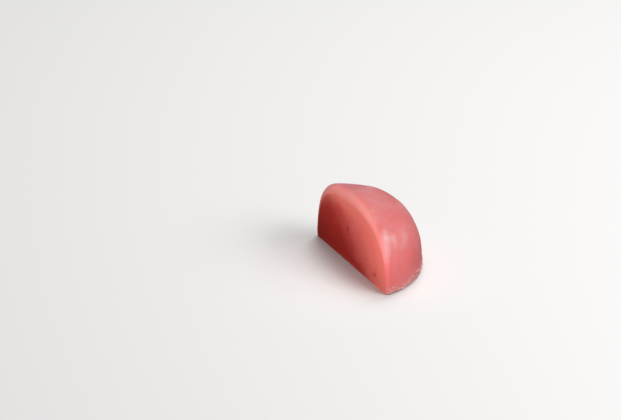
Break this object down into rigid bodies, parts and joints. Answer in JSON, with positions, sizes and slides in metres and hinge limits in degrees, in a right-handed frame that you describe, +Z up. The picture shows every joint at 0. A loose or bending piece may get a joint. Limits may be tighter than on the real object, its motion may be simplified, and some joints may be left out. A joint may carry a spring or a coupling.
{
  "type": "mochi rice cake",
  "caption": "Half of a round pink mochi rice cake, cut with a knife to show the red filling inside its soft rice dough, resting on its flat base.",
  "frame": {"origin": "middle of the base of the half's bounding box, on the table", "axes": "+Z up; +X along the cut, towards the end with the fuller shoulder; the cut face looks along -Y and the dome swells towards +Y"},
  "size_m": [0.0553, 0.0252, 0.0275],
  "materials": {
    "skin": "soft translucent pink rice dough with a satin surface and a thin bloom of starch powder",
    "filling": "moist, deeper red sweet filling, cut smooth by the knife"
  },
  "bodies": {
    "root": {"skin": "skin", "filling": "filling"}
  },
  "joints": []
}
